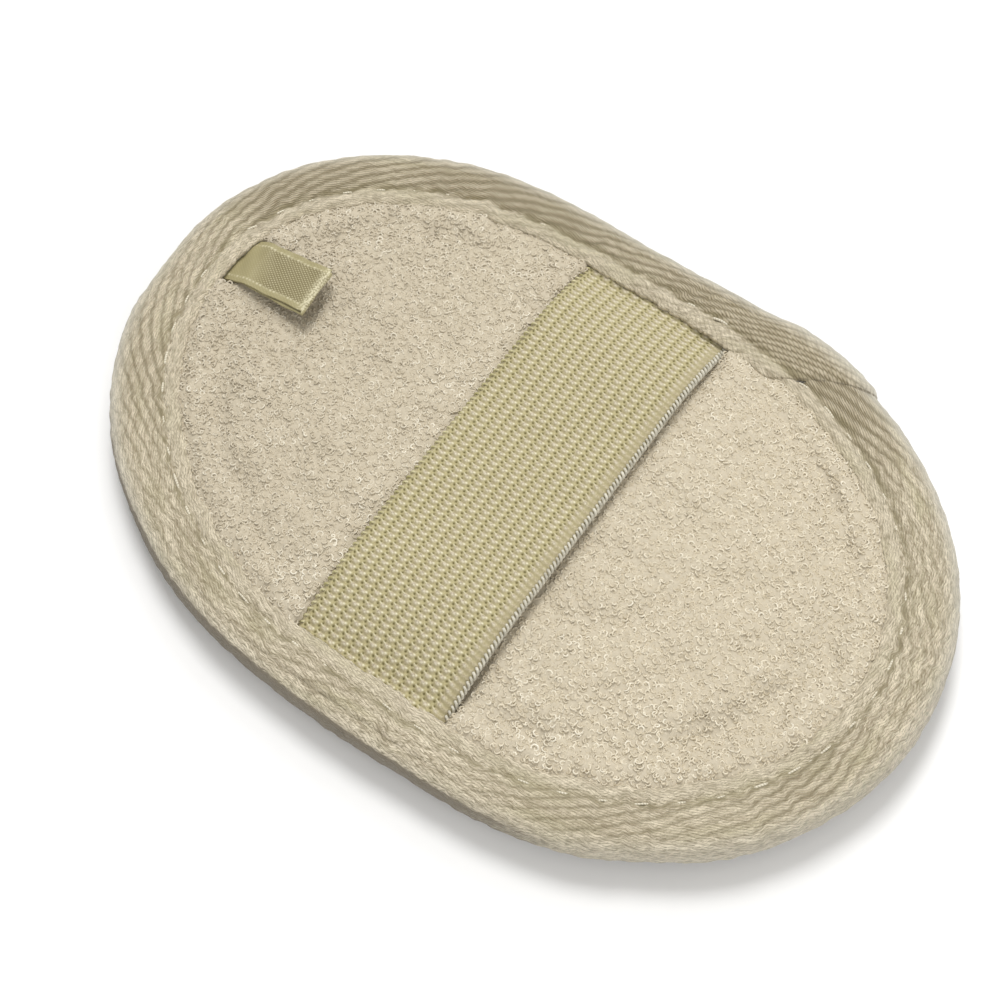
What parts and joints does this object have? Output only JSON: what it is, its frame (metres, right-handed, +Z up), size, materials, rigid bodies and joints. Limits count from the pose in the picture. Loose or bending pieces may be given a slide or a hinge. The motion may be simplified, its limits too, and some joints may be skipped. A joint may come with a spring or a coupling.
{
  "type": "loofah back scrubber",
  "caption": "Flat oval scrubbing pad with a loofah fibre face, a terry cloth back, a bound edge, an elastic hand strap across the back and a folded ribbon hanging loop.",
  "frame": {"origin": "centre of the bounding box's underside, on the surface that the loofah face lies on", "axes": "+Z up out of the terry side, +X along the pad's long axis with the hanging loop at the -X end, +Y along the strap"},
  "size_m": [0.1593, 0.1098, 0.0122],
  "materials": {
    "loofah_fibre": "rough, fibrous",
    "foam_sponge": "matte, porous",
    "terry_cotton": "matte, looped pile",
    "binding_cotton": "matte, twill ribs",
    "seam_thread": "slight sheen",
    "strap_elastic": "knitted, matte with pale yarns",
    "loop_ribbon": "satin"
  },
  "bodies": {
    "root": {"loofah_face": "loofah_fibre", "foam_core": "foam_sponge", "terry_back": "terry_cotton", "binding_tape": "binding_cotton", "top_stitches": "seam_thread", "underside_stitches": "seam_thread", "strap_tail_front": "strap_elastic", "strap_tail_rear": "strap_elastic", "strap_side_front": "strap_elastic", "strap_side_rear": "strap_elastic", "ribbon_tail": "loop_ribbon"},
    "strap": {"strap_middle": "strap_elastic"},
    "loop": {"hanging_loop": "loop_ribbon"}
  },
  "joints": [
    {"name": "strap_lift", "type": "slide", "parent": "root", "child": "strap", "axis": [0, 0, 1], "range_m": [0, 0.028], "stiffness_N_per_m": 150, "deforming": ["strap_side_front", "strap_side_rear"]},
    {"name": "loop_flip", "type": "hinge", "parent": "root", "child": "loop", "pos_m": [-0.0635, 0.011, 0.0097], "axis": [0, -1, 0], "range_deg": [0, 140]}
  ]
}
